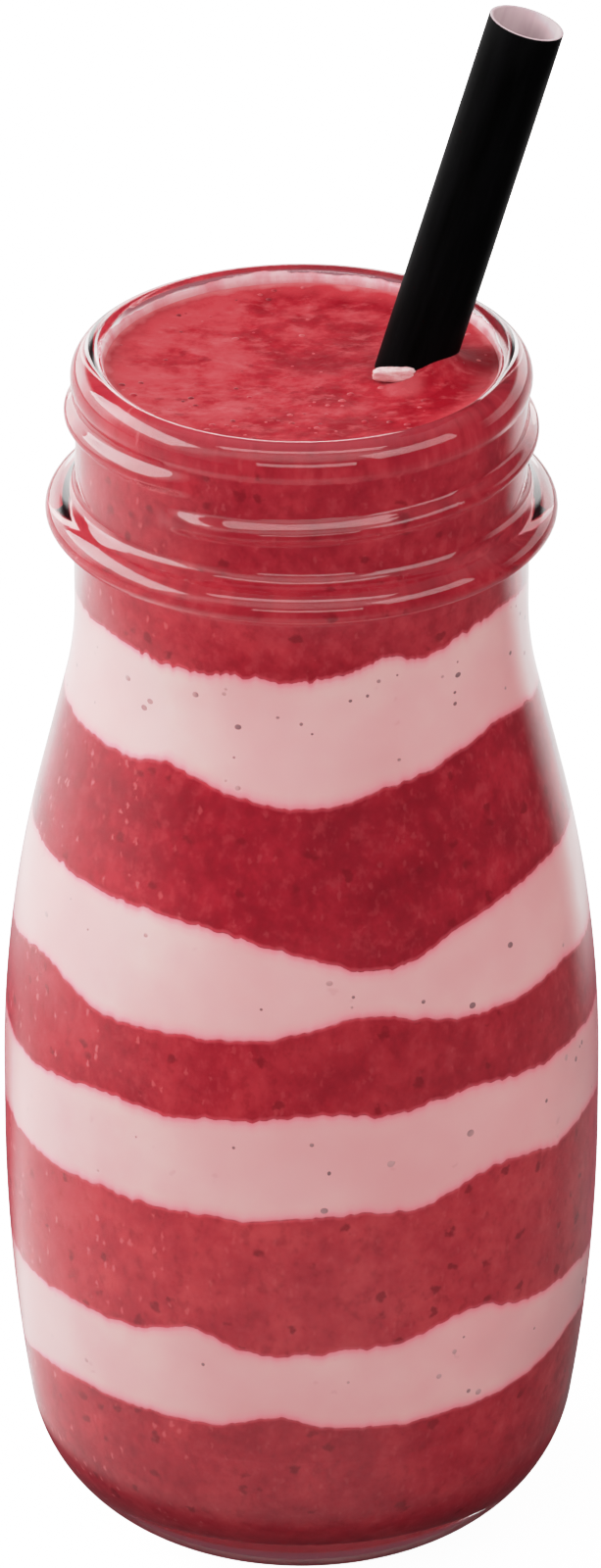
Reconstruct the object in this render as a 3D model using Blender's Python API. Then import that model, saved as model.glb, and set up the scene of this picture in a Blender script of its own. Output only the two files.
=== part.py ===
"""A layered strawberry smoothie in a small glass milk bottle, with a straight drinking straw.

The bottle is one turned body of glass: a hollowed foot, a very round heel, an almost upright wall, a
long sloping shoulder, a bead round the neck, a screw thread of one turn and a fat round lip. Nine
layers fill it, red smoothie and pale cream in turn, each wavy where it meets the next. The straw
stands in them, leaning to the right. The origin is on the floor at the bottle's axis, and the front
faces -Y. All lengths are in metres.
"""
import math

import bmesh
import bpy
from mathutils import Matrix, Vector

MM = 0.001
GAP = 0.3 * MM                      # clearance between neighbouring pieces
SEGMENTS = 48                       # flats round the bottle and the drink

# Bottle, outside
BODY_RADIUS = 30.0 * MM
NECK_RADIUS = 22.5 * MM             # below the bead
FINISH_RADIUS = 22.3 * MM           # between the bead and the lip, under the thread
HEIGHT = 128.4 * MM                 # floor to the top of the lip
HEEL_RADIUS = 15.7 * MM
HEEL_END = math.radians(8.9)        # lean of the wall where the heel ends
WALL_TOP = 44.0 * MM                # the wall stands upright from here
SHOULDER_START = 50.0 * MM
SHOULDER_LEAN = math.radians(13.6)
SHOULDER_CURVE = 136.0 * MM
NECK_CURVE = 38.0 * MM

# Bottle, foot
FOOT_HOLLOW_RADIUS = 8.4 * MM
FOOT_HOLLOW_DEPTH = 1.2 * MM
FOOT_HOLLOW_RINGS = (0.5, 0.8)      # rings across the hollow, as shares of its radius

# Bottle, inside
INNER_RADIUS = 27.5 * MM
BORE_RADIUS = 19.4 * MM
FLOOR_THICKNESS = 7.3 * MM          # a heavy base, seen as a clear band under the drink
INNER_HEEL_RADIUS = 8.0 * MM
INNER_HEEL_END = math.radians(10.2)

# Bead below the thread
BEAD_HEIGHT = 112.0 * MM
BEAD_RADIUS = 25.3 * MM
BEAD_HALF = 2.0 * MM
BEAD_TOP_RISE = 0.3 * MM            # from the bead's top edge up to the finish

# Lip
LIP_RADIUS = 22.75 * MM
LIP_CREST_RADIUS = 20.6 * MM
LIP_DROP = 2.4 * MM                 # from the top down to the widest place
LIP_INNER_DROP = 1.4 * MM

# Screw thread, azimuths from the front towards +X
THREAD_START = -39.0
THREAD_END = 334.0
THREAD_START_HEIGHT = 119.0 * MM
THREAD_PITCH = 4.0 * MM
THREAD_STAND = 1.25 * MM
THREAD_HALF = 1.15 * MM
THREAD_ROOT = 0.8 * MM              # depth of the thread's root inside the wall
THREAD_SINK = 0.15 * MM             # keeps the faded ends of the thread inside the wall
THREAD_END_SHARE = 0.4              # height of the ends as a share of the full thread
THREAD_RUN_OUT = 22.5               # degrees over which each end fades away
THREAD_SECTION = (-78, -40, 0, 40, 78)

# Straw
STRAW_RADIUS = 3.75 * MM
STRAW_BORE_RADIUS = 3.35 * MM
STRAW_LENGTH = 150.0 * MM
STRAW_LEAN = math.radians(16.3)
STRAW_TOP = Vector((21.8 * MM, 1.0 * MM, 163.1 * MM))
STRAW_SEGMENTS = 24

# Drink surface
DRINK_LEVEL = 126.7 * MM
MENISCUS = 0.4 * MM
MENISCUS_POWER = 12                 # how close to the glass the meniscus rises
DRINK_DIP = 0.5 * MM                # hollow in the middle of the surface
CREAM_DAB = Vector((9.2 * MM, -2.0 * MM, 126.9 * MM))
CREAM_DAB_SIZE = Vector((2.1 * MM, 1.7 * MM, 0.9 * MM))

# Where one layer meets the next, from the top down: the level, then waves as (azimuth, height, spread).
# Levels and heights are in millimetres, azimuths and spreads in degrees.
BOUNDARIES = (
    (103.0, ((65, 2.2, 28), (-36, -0.7, 14), (23, 1.2, 8), (-5, -0.5, 9), (150, -1.0, 30), (-130, 0.8, 25))),
    (91.2, ((0, -1.8, 20), (-36, 1.1, 9), (60, 2.2, 22), (175, -1.2, 30), (-120, 0.7, 22))),
    (77.4, ((16, -3.7, 25), (20, -0.9, 8), (140, -1.5, 28), (-140, 0.7, 30))),
    (66.0, ((14, 2.4, 16), (-67, 1.6, 11), (-38, -0.7, 13), (66, 0.5, 12), (160, 1.2, 30), (-130, -0.8, 24))),
    (57.6, ((-72, -2.0, 22), (-28, -0.9, 9), (5, 0.9, 10), (36, 1.1, 14), (180, 1.0, 35))),
    (46.6, ((44, 2.9, 14), (78, 1.6, 16), (10, 0.7, 14), (-65, -0.5, 12), (-140, 0.9, 25))),
    (31.7, ((-23, 1.7, 8), (-8, -0.6, 8), (37, 2.1, 11), (84, -1.2, 14), (-75, -0.8, 14), (170, 0.8, 30))),
    (22.2, ((-92, -2.6, 24), (-5, 1.6, 9), (76, 2.0, 18), (165, -1.0, 30))),
)
CAP_RINGS = (0.55, 1.0)             # rings across a layer's top and bottom, as shares of its radius
LAYER_SPANS = 2                     # rows of faces up a layer's side

GLASS_COLOUR = (0.86, 0.89, 0.88, 1.0)
SMOOTHIE_COLOUR = (0.42, 0.026, 0.045, 1.0)
CREAM_COLOUR = (0.70, 0.45, 0.43, 1.0)
STRAW_COLOUR = (0.006, 0.006, 0.007, 1.0)


def clear_scene():
    for old in list(bpy.data.objects):
        bpy.data.objects.remove(old, do_unlink=True)


def material(name, colour, roughness, transmission=0.0):
    made = bpy.data.materials.new(name)
    made.use_nodes = True
    shader = made.node_tree.nodes["Principled BSDF"]
    shader.inputs["Base Color"].default_value = colour
    shader.inputs["Roughness"].default_value = roughness
    shader.inputs["Metallic"].default_value = 0.0
    shader.inputs["Transmission Weight"].default_value = transmission
    return made


def arc(centre, radii, start, end, steps):
    """Points (radius, height) along an arc, angles in radians from straight out, without its first."""
    points = []
    for step in range(1, steps + 1):
        angle = start + (end - start) * step / steps
        points.append((centre[0] + radii[0] * math.cos(angle), centre[1] + radii[1] * math.sin(angle)))
    return points


def heel_and_wall(wall_radius, heel_radius, heel_end, base, heel_steps, wall_steps):
    """From the foot out round the heel and up a slightly barrelled wall to WALL_TOP."""
    rise = WALL_TOP - base - heel_radius * (1 - math.sin(heel_end))
    barrel = rise / math.sin(heel_end)
    foot = wall_radius - barrel * (1 - math.cos(heel_end)) - heel_radius * math.cos(heel_end)
    heel = arc((foot, base + heel_radius), (heel_radius, heel_radius), -math.pi / 2, -heel_end, heel_steps)
    wall = arc((wall_radius - barrel, WALL_TOP), (barrel, barrel), -heel_end, 0, wall_steps)
    return [(foot, base)] + heel + wall


def shoulder(start_radius, end_radius, convex, concave, convex_steps, concave_steps):
    """From SHOULDER_START up a long slope that ends upright at end_radius."""
    lean = SHOULDER_LEAN
    bent = (convex + concave) * (1 - math.cos(lean))
    slope_rise = (start_radius - end_radius - bent) / math.tan(lean)
    end_height = SHOULDER_START + (convex + concave) * math.sin(lean) + slope_rise
    top = arc((start_radius - convex, SHOULDER_START), (convex, convex), 0, lean, convex_steps)
    neck = arc((end_radius + concave, end_height), (concave, concave), math.pi + lean, math.pi, concave_steps)
    slope_end = (end_radius + concave * (1 - math.cos(lean)), end_height - concave * math.sin(lean))
    return [(start_radius, SHOULDER_START)] + top + [slope_end] + neck


def outer_outline():
    """The glass from the middle of its foot, up the outside, to the crest of the lip."""
    hollow = []
    for share in FOOT_HOLLOW_RINGS:
        hollow.append((FOOT_HOLLOW_RADIUS * share, FOOT_HOLLOW_DEPTH * (1 - share * share)))
    hollow.append((FOOT_HOLLOW_RADIUS, 0.0))
    wall = heel_and_wall(BODY_RADIUS, HEEL_RADIUS, HEEL_END, 0.0, 7, 3)
    slope = shoulder(BODY_RADIUS, NECK_RADIUS, SHOULDER_CURVE, NECK_CURVE, 5, 2)
    bead_foot = (NECK_RADIUS, BEAD_HEIGHT - BEAD_HALF)
    bead = arc((NECK_RADIUS, BEAD_HEIGHT), (BEAD_RADIUS - NECK_RADIUS, BEAD_HALF), -math.pi / 2, math.pi / 2, 6)
    lip_size = (LIP_RADIUS - LIP_CREST_RADIUS, LIP_DROP)
    lip_start = -math.acos((FINISH_RADIUS - LIP_CREST_RADIUS) / lip_size[0])
    finish_end = (FINISH_RADIUS, HEIGHT - LIP_DROP + LIP_DROP * math.sin(lip_start))
    lip = arc((LIP_CREST_RADIUS, HEIGHT - LIP_DROP), lip_size, lip_start, math.pi / 2, 5)
    finish_start = (FINISH_RADIUS, BEAD_HEIGHT + BEAD_HALF + BEAD_TOP_RISE)
    return hollow + wall + slope + [bead_foot] + bead + [finish_start, finish_end] + lip


def inner_outline():
    """The inside of the glass, from the edge of its floor up to the crest of the lip."""
    wall = heel_and_wall(INNER_RADIUS, INNER_HEEL_RADIUS, INNER_HEEL_END, FLOOR_THICKNESS, 5, 2)
    thickness = BODY_RADIUS - INNER_RADIUS
    slope = shoulder(INNER_RADIUS, BORE_RADIUS, SHOULDER_CURVE - thickness, NECK_CURVE + thickness, 4, 2)
    mouth_centre = (LIP_CREST_RADIUS, HEIGHT - LIP_INNER_DROP)
    mouth_size = (LIP_CREST_RADIUS - BORE_RADIUS, LIP_INNER_DROP)
    mouth = [(BORE_RADIUS, HEIGHT - LIP_INNER_DROP)] + arc(mouth_centre, mouth_size, math.pi, math.pi / 2, 3)
    return wall + slope + mouth


def inner_radius(height):
    """Radius of the inside of the glass at a height above its floor."""
    points = inner_outline()
    for (low_radius, low), (high_radius, high) in zip(points, points[1:]):
        if low <= height <= high and high > low:
            share = (height - low) / (high - low)
            return low_radius + (high_radius - low_radius) * share
    return BORE_RADIUS


def compass(azimuth, radius, height):
    """A point at an azimuth in degrees, counted from the front (-Y) towards +X."""
    angle = math.radians(azimuth)
    return Vector((radius * math.sin(angle), -radius * math.cos(angle), height))


def add_object(name, mesh_bm, parent, made_of):
    mesh = bpy.data.meshes.new(name)
    bmesh.ops.recalc_face_normals(mesh_bm, faces=mesh_bm.faces)
    mesh_bm.to_mesh(mesh)
    mesh_bm.free()
    mesh.materials.append(made_of)
    mesh.shade_smooth()
    mesh.set_sharp_from_angle(angle=math.radians(35))
    made = bpy.data.objects.new(name, mesh)
    made.parent = parent
    bpy.context.collection.objects.link(made)
    return made


def bridge_rings(mesh_bm, lower, upper):
    count = len(lower)
    for i in range(count):
        j = (i + 1) % count
        mesh_bm.faces.new((lower[i], lower[j], upper[j], upper[i]))


def closed_rings(first_pole, rings, last_pole):
    """A closed body: a fan from first_pole, quads from ring to ring, and a fan to last_pole."""
    made = bmesh.new()
    loops = [[made.verts.new(point) for point in ring] for ring in rings]
    for lower, upper in zip(loops, loops[1:]):
        bridge_rings(made, lower, upper)
    for pole, ring in ((made.verts.new(first_pole), loops[0][::-1]), (made.verts.new(last_pole), loops[-1])):
        for i, vertex in enumerate(ring):
            made.faces.new((vertex, ring[(i + 1) % len(ring)], pole))
    return made


def turned_ring(radius, height):
    return [compass(360.0 * i / SEGMENTS, radius, height) for i in range(SEGMENTS)]


def thread_bump(azimuth):
    """Size of the thread at an azimuth along its run, 1 on most of it and fading out at both ends."""
    near_end = min(azimuth - THREAD_START, THREAD_END - azimuth)
    return math.sin(math.pi / 2 * min(1.0, near_end / THREAD_RUN_OUT))


def thread_ridge(parent, made_of):
    """The thread as a closed ridge whose root lies inside the wall."""
    ridge = bmesh.new()
    step = 360.0 / SEGMENTS
    stations = math.ceil((THREAD_END - THREAD_START) / step)
    loops = []
    for station in range(stations + 1):
        azimuth = THREAD_START + (THREAD_END - THREAD_START) * station / stations
        size = thread_bump(azimuth)
        height = THREAD_START_HEIGHT + THREAD_PITCH * (azimuth - THREAD_START) / 360.0
        half = THREAD_HALF * (THREAD_END_SHARE + (1 - THREAD_END_SHARE) * size)
        section = [(FINISH_RADIUS - THREAD_ROOT, height - half)]
        for degrees in THREAD_SECTION:
            turn = math.radians(degrees)
            stand = THREAD_STAND * size * math.cos(turn) - THREAD_SINK
            section.append((FINISH_RADIUS + stand, height + half * math.sin(turn)))
        section.append((FINISH_RADIUS - THREAD_ROOT, height + half))
        loops.append([ridge.verts.new(compass(azimuth, radius, z)) for radius, z in section])
    for near, far in zip(loops, loops[1:]):
        bridge_rings(ridge, near, far)
    ridge.faces.new(loops[0][::-1])
    ridge.faces.new(loops[-1])
    guide = add_object("thread_guide", ridge, parent, made_of)
    return hidden(guide)


def hidden(guide):
    guide.hide_render = True
    guide.display_type = "WIRE"
    return guide


def boolean(target, tool, operation):
    modifier = target.modifiers.new(tool.name, "BOOLEAN")
    modifier.operation = operation
    modifier.solver = "EXACT"
    modifier.object = tool


def bottle(parent):
    glass = material("clear_glass", GLASS_COLOUR, 0.03, transmission=1.0)
    profile = outer_outline() + inner_outline()[-2::-1]
    rings = [turned_ring(radius, height) for radius, height in profile]
    foot_middle = Vector((0.0, 0.0, FOOT_HOLLOW_DEPTH))
    floor_middle = Vector((0.0, 0.0, FLOOR_THICKNESS))
    made = add_object("bottle", closed_rings(foot_middle, rings, floor_middle), parent, glass)
    boolean(made, thread_ridge(parent, glass), "UNION")
    return made


def wave(boundary, azimuth):
    """Height of a boundary at the glass above its level."""
    total = 0.0
    for centre, height, spread in boundary[1]:
        away = (azimuth - centre + 180.0) % 360.0 - 180.0
        total += height * MM * math.exp(-((away / spread) ** 2))
    return total


def boundary_height(boundary, azimuth, share):
    """Height of a boundary at a share of the radius: level on the axis, wavy at the glass."""
    return boundary[0] * MM + wave(boundary, azimuth) * share * share


def surface_height(azimuth, share):
    """The top of the drink: a shallow dip in the middle and a meniscus at the glass."""
    dip = DRINK_DIP * (1 - share * share)
    return DRINK_LEVEL - dip + MENISCUS * share ** MENISCUS_POWER


def disc_ring(height_at, share, offset):
    """One ring across a boundary, offset up or down by half a gap."""
    ring = []
    for i in range(SEGMENTS):
        azimuth = 360.0 * i / SEGMENTS
        edge = inner_radius(height_at(azimuth, 1.0) + offset) - GAP
        ring.append(compass(azimuth, edge * share, height_at(azimuth, share) + offset))
    return ring


def layer(low, high):
    """A layer between two boundary functions of (azimuth, share of the radius)."""
    low_offset, high_offset = GAP / 2, -GAP / 2
    rings = [disc_ring(low, share, low_offset) for share in CAP_RINGS]
    for row in range(1, LAYER_SPANS):
        ring = []
        for i in range(SEGMENTS):
            azimuth = 360.0 * i / SEGMENTS
            foot = low(azimuth, 1.0) + low_offset
            top = high(azimuth, 1.0) + high_offset
            height = foot + (top - foot) * row / LAYER_SPANS
            ring.append(compass(azimuth, inner_radius(height) - GAP, height))
        rings.append(ring)
    rings += [disc_ring(high, share, high_offset) for share in reversed(CAP_RINGS)]
    return closed_rings(Vector((0, 0, low(0, 0) + low_offset)), rings, Vector((0, 0, high(0, 0) + high_offset)))


def bottom_layer(high):
    """The lowest layer, which fills the round heel of the glass."""
    top_offset = -GAP / 2
    rings = []
    lowest_top = min(high(360.0 * i / SEGMENTS, 1.0) for i in range(SEGMENTS))
    for radius, height in inner_outline():
        if height + 3 * GAP < lowest_top:
            rings.append(turned_ring(radius - GAP, height + GAP))
    rings += [disc_ring(high, share, top_offset) for share in reversed(CAP_RINGS)]
    return closed_rings(Vector((0, 0, FLOOR_THICKNESS + GAP)), rings, Vector((0, 0, high(0, 0) + top_offset)))


def boundary_function(boundary):
    def height_at(azimuth, share):
        return boundary_height(boundary, azimuth, share)
    return height_at


def straw_placement():
    """The straw's lower end, and the rotation that leans it towards +X."""
    turn = Matrix.Rotation(STRAW_LEAN, 4, "Y")
    end = STRAW_TOP - turn @ Vector((0.0, 0.0, STRAW_LENGTH))
    return Matrix.Translation(end) @ turn


def tube_rings(sizes):
    """Rings along Z for (radius, height) pairs."""
    rings = []
    for radius, height in sizes:
        ring = []
        for i in range(STRAW_SEGMENTS):
            angle = math.tau * i / STRAW_SEGMENTS
            ring.append(Vector((radius * math.cos(angle), radius * math.sin(angle), height)))
        rings.append(ring)
    return rings


def straw(parent):
    paper = material("black_straw", STRAW_COLOUR, 0.45)
    sizes = ((STRAW_RADIUS, 0.0), (STRAW_RADIUS, STRAW_LENGTH),
             (STRAW_BORE_RADIUS, STRAW_LENGTH), (STRAW_BORE_RADIUS, 0.0))
    tube = bmesh.new()
    loops = [[tube.verts.new(point) for point in ring] for ring in tube_rings(sizes)]
    for lower, upper in zip(loops, loops[1:] + loops[:1]):
        bridge_rings(tube, lower, upper)
    made = add_object("straw", tube, parent, paper)
    made.matrix_local = straw_placement()
    return made


def straw_clearance(parent, made_of):
    """A cutter that keeps the drink clear of the straw."""
    radius = STRAW_RADIUS + GAP
    rings = tube_rings(((radius, -GAP), (radius, STRAW_LENGTH)))
    cutter = closed_rings(Vector((0, 0, -GAP)), rings, Vector((0, 0, STRAW_LENGTH)))
    made = add_object("straw_clearance", cutter, parent, made_of)
    made.matrix_local = straw_placement()
    return hidden(made)


def cream_dab(parent, made_of):
    """A small mound of cream on the drink at the straw's foot."""
    mound = bmesh.new()
    size = Matrix.Diagonal(CREAM_DAB_SIZE).to_4x4()
    bmesh.ops.create_icosphere(mound, subdivisions=2, radius=1.0, matrix=Matrix.Translation(CREAM_DAB) @ size)
    return hidden(add_object("cream_dab_guide", mound, parent, made_of))


def drink(parent):
    smoothie = material("strawberry_smoothie", SMOOTHIE_COLOUR, 0.4)
    cream = material("pink_cream", CREAM_COLOUR, 0.45)
    cutter = straw_clearance(parent, smoothie)
    heights = [surface_height] + [boundary_function(boundary) for boundary in BOUNDARIES]
    for index, high in enumerate(heights):
        is_red = index % 2 == 0
        name = f"smoothie_layer_{index // 2 + 1}" if is_red else f"cream_layer_{index // 2 + 1}"
        body = layer(heights[index + 1], high) if index + 1 < len(heights) else bottom_layer(high)
        made = add_object(name, body, parent, smoothie if is_red else cream)
        if index == 0:
            boolean(made, cream_dab(parent, cream), "UNION")
        boolean(made, cutter, "DIFFERENCE")


def main():
    clear_scene()
    root = bpy.data.objects.new("smoothie_bottle", None)
    bpy.context.collection.objects.link(root)
    bottle(root)
    drink(root)
    straw(root)


main()
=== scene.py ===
"""Looks of the layered strawberry smoothie: the glass bottle, the drink's layers and the paper straw.

Every outline is worked out from the same driving dimensions as the construction, in metres, with the
origin on the floor at the bottle's axis, +Z up and the front towards -Y.
"""

import math
import random

import bmesh
import bpy
import numpy as np
from mathutils import Matrix, Vector, noise


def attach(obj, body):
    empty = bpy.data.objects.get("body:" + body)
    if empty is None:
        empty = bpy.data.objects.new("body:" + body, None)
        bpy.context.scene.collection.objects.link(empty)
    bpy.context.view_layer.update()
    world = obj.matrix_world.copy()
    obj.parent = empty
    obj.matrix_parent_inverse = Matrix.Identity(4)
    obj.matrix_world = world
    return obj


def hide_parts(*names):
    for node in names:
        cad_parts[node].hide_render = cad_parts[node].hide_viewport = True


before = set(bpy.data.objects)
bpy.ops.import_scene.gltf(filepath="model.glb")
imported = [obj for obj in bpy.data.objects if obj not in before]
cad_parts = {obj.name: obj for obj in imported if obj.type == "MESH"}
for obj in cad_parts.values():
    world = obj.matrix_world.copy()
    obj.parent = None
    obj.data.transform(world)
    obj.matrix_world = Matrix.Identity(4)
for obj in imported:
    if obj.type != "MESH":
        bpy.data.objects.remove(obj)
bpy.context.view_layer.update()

MM = 0.001
AROUND = 256  # facets round the glass
DRINK_AROUND = 512  # facets round the drink

# Bottle, outside
BODY_RADIUS = 30.0 * MM
NECK_RADIUS = 22.5 * MM
FINISH_RADIUS = 22.3 * MM
HEIGHT = 128.4 * MM
HEEL_RADIUS = 15.7 * MM
HEEL_END = math.radians(8.9)
WALL_TOP = 44.0 * MM
SHOULDER_START = 50.0 * MM
SHOULDER_LEAN = math.radians(13.6)
SHOULDER_CURVE = 136.0 * MM
NECK_CURVE = 38.0 * MM
FOOT_HOLLOW_RADIUS = 8.4 * MM
FOOT_HOLLOW_DEPTH = 1.2 * MM

# Bottle, inside
INNER_RADIUS = 27.5 * MM
BORE_RADIUS = 19.4 * MM
FLOOR_THICKNESS = 7.3 * MM
INNER_HEEL_RADIUS = 8.0 * MM
INNER_HEEL_END = math.radians(10.2)

# Bead, lip and thread
BEAD_HEIGHT = 112.0 * MM
BEAD_RADIUS = 25.3 * MM
BEAD_HALF = 2.0 * MM
BELOW_BEAD_FILLET = 0.8 * MM
ABOVE_BEAD_FILLET = 1.4 * MM
LIP_RADIUS = 22.75 * MM
LIP_CREST_RADIUS = 20.6 * MM
LIP_DROP = 2.4 * MM
LIP_INNER_DROP = 1.4 * MM
THREAD_START = -39.0  # degrees round from the front
THREAD_END = 334.0
THREAD_START_HEIGHT = 119.0 * MM
THREAD_PITCH = 4.0 * MM
THREAD_STAND = 1.1 * MM
THREAD_REACH = 1.55 * MM  # from the crest to where the ridge has died away
THREAD_RUN_OUT = 22.5  # degrees in which each end dies away
THREAD_ZONE = (116.4 * MM, 124.7 * MM)
THREAD_RING_STEP = 0.14 * MM

# Straw
STRAW_RADIUS = 3.75 * MM
STRAW_BORE_RADIUS = 3.35 * MM
STRAW_LENGTH = 150.0 * MM
STRAW_LEAN = math.radians(16.3)
STRAW_TOP = Vector((21.8 * MM, 1.0 * MM, 163.1 * MM))
STRAW_EDGE = 0.04 * MM  # how far its ends are cut back
STRAW_RINGS = 31
STRAW_AROUND = 96
BLACK_PAPER = ((0.0018, 0.0018, 0.002), (0.0006, 0.0006, 0.0006))
PALE_PAPER = ((0.52, 0.42, 0.43), (0.45, 0.34, 0.36))

# Drink
DRINK_LEVEL = 126.7 * MM
MENISCUS = 0.4 * MM
DRINK_DIP = 0.5 * MM
REACH_INTO_WALL = 0.15 * MM
LAYER_OVERLAP = 0.06 * MM
EDGE_ROWS = (0.12, 0.3, 0.6, 1.1)  # rows of faces next to a boundary, in millimetres from it
MIDDLE_ROW_STEP = 1.6 * MM
CAP_SHARES = (0.12, 0.5, 0.85)  # rings across a boundary, as shares of its radius
FAR_FROM_EDGE = 9.0  # millimetres, beyond all that is coloured by its distance
SURFACE_RING_STEP = 0.3 * MM
RIM_STRETCH = 3.0  # how many times further the pale edge reaches at the open surface
FILM_START = DRINK_LEVEL - 0.3 * MM
FILM_HEIGHTS = (127.6 * MM, 128.3 * MM)
FILM_THICKNESS = 0.07 * MM
FILM_IN_WALL = 0.03 * MM
STRAW_HEAP = 2.6 * MM  # how far the drink is heaped up at the straw's front right
STRAW_HEAP_SIDE = (0.8, -0.6)
STRAW_HEAP_SPREAD = 1.8 * MM
DAB = Vector((9.15 * MM, -2.75 * MM, 127.35 * MM))  # at the straw's foot, in front and to the left
DAB_SIZE = Vector((2.1 * MM, 0.55 * MM, 0.66 * MM))

# Patches of the open surface: (place, radius, how much of them shows, colour). The second, right of the
# straw, is the straw's shadow painted on the surface; the first is a darker patch and the third a paler
# one.
PATCHES_AND_STRAW_SHADOW = (
    ((1.6 * MM, 1.9 * MM, 0.0), 4.5 * MM, 0.45, (0.14, 0.002, 0.007)),
    ((17.9 * MM, 1.2 * MM, 0.0), 4.4 * MM, 0.9, (0.17, 0.002, 0.007)),
    ((10.0 * MM, -4.4 * MM, 0.0), 2.6 * MM, 0.3, (0.48, 0.12, 0.13)),
)

# Scattered detail
BUBBLES = 60
BUBBLE_RADII = (0.18 * MM, 0.5 * MM)
SURFACE_BITS = 45
SPECKS = ((1, 80), (3, 26), (5, 26), (7, 20))  # (layers above it, number of dark seeds in it)
SPECK_RADII = (0.14 * MM, 0.42 * MM)
SPECK_THICKNESS = 0.09 * MM
SPECK_SINK = 0.04 * MM

# Where one layer meets the next, from the top down: the level, then waves as (azimuth, height, spread).
# Levels and heights are in millimetres, azimuths and spreads in degrees.
BOUNDARIES = (
    (103.0, ((65, 2.2, 28), (-36, -0.7, 14), (23, 1.2, 8), (-5, -0.5, 9),
             (150, -1.0, 30), (-130, 0.8, 25))),
    (91.2, ((0, -1.8, 20), (-36, 1.1, 9), (60, 2.2, 22), (175, -1.2, 30), (-120, 0.7, 22))),
    (77.4, ((16, -3.7, 25), (20, -0.9, 8), (140, -1.5, 28), (-140, 0.7, 30))),
    (66.0, ((14, 2.4, 16), (-67, 1.6, 11), (-38, -0.7, 13), (66, 0.5, 12),
            (160, 1.2, 30), (-130, -0.8, 24))),
    (57.6, ((-72, -2.0, 22), (-28, -0.9, 9), (5, 0.9, 10), (36, 1.1, 14), (180, 1.0, 35))),
    (46.6, ((44, 2.9, 14), (78, 1.6, 16), (10, 0.7, 14), (-65, -0.5, 12), (-140, 0.9, 25))),
    (31.7, ((-23, 1.7, 8), (-8, -0.6, 8), (37, 2.1, 11), (84, -1.2, 14),
            (-75, -0.8, 14), (170, 0.8, 30))),
    (22.2, ((-92, -2.6, 24), (-5, 1.6, 9), (76, 2.0, 18), (165, -1.0, 30))),
)
RED_TONES = (0.33, 0.0, 0.3, 0.85, 0.5)  # how light each smoothie layer is, from the top down
RAGGED = (0.42, 0.24, 0.26, 0.28, 0.28, 0.36, 0.28, 0.22)  # boundaries' unevenness, in millimetres

# Camera: far off and about 27 degrees above level
CAMERA_DISTANCE = 1.2
CAMERA_ELEVATION = math.radians(27.0)
CAMERA_TARGET = Vector((-0.1 * MM, 0.0, 80.9 * MM))
CAMERA_LENS = 275.9  # millimetres, for a sensor 36 mm high

# Studio: each light's name, place, width and height in metres, and power in watts
LIGHT_TARGET = (0.0, 0.0, 0.07)
LIGHTS = (
    ("key", (-0.965, 0.17, 0.82), (1.5, 0.6), 17.6),
    ("top", (0.0, -0.40, 1.45), (1.4, 0.3), 5.6),
    ("right", (0.75, -0.45, 0.62), (0.8, 0.45), 3.8),
    ("front", (0.05, -1.15, 0.33), (1.0, 0.25), 3.0),
)

# What the floor returns to the glass and the drink, with light and shade painted in: brighter where the
# lamp lights it on the left, and the bottle's shadow painted on its right and under it. Distances are
# from the bottle's axis, in metres.
FLOOR_FAR = (0.04, 0.04, 0.04)
FLOOR_NEAR = (0.30, 0.30, 0.30)
# brighter to the left, where the lamp's light is painted on the floor
FLOOR_LEFT = (  # (distance, grey)
    (0.02, 0.40), (0.06, 0.80), (0.11, 0.80), (0.14, 0.44),
    (0.165, 0.52), (0.19, 0.85), (0.23, 0.80), (0.45, 0.70),
)
# the bottle's shadow painted on the floor to its right
FLOOR_RIGHT_SHADE = ((0.05, 0.04), (0.08, 0.13), (0.19, 0.13), (0.30, 0.04))
FLOOR_BACK = (0.80, 0.80, 0.80)
FLOOR_GLEAM = (0.18, 0.07, 0.085)  # close behind the bottle, tinted by the light through it
# painted shadow under the bottle, tinted by the drink's red
FLOOR_SHADOW_UNDER = (0.14, 0.035, 0.045)
FLOOR_GLOW = 2.3  # for the camera alone, so that the background is nearly white

# The room round it: its own colour, what is seen upward through the bottle's foot, and soft glows
ROOM_BASE = (0.13, 0.075, 0.085)
ROOM_BLUSH = (0.15, 0.045, 0.06)
ROOM_SEEN = (3.0, 3.0, 3.0)
ROOM_GLOWS = (  # radiance, and the two axes along which it grows, from and to
    (1.7, ("Y", 0.55, 0.85), ("Z", 0.44, 0.32)),
    (1.2, ("Y", 0.1, 0.4), ("X", -0.3, -0.6)),
    (1.2, ("X", -0.5, -0.85), ("Z", 0.1, 0.35)),
    (0.9, ("X", -0.4, -0.95), ("Z", -1.0, -0.9)),
    (1.4, ("Y", 0.1, 0.4), ("Z", 0.40, 0.32)),
    (0.3, ("Z", 0.45, 0.85), ("Z", 0.0, 0.1)),
    (1.4, ("Y", -0.3, -0.6), ("Z", 0.3, 0.6)),
)

# Roll-off of the highlights: (light, what is shown), straight up to its start
CURVE_WHITE = 4.0
ROLL_OFF_START = 0.6
ROLL_OFF = ((0.0, 0.0), (0.3, 0.3), (0.6, 0.6), (1.07, 0.77), (1.7, 0.89), (2.6, 0.97), (4.0, 1.0))


def arc(centre, radii, start, end, steps):
    """Points (radius, height) along an arc, angles in radians from straight out, without its first."""
    angles = np.linspace(start, end, steps + 1)[1:]
    return [(centre[0] + radii[0] * math.cos(a), centre[1] + radii[1] * math.sin(a)) for a in angles]


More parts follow.
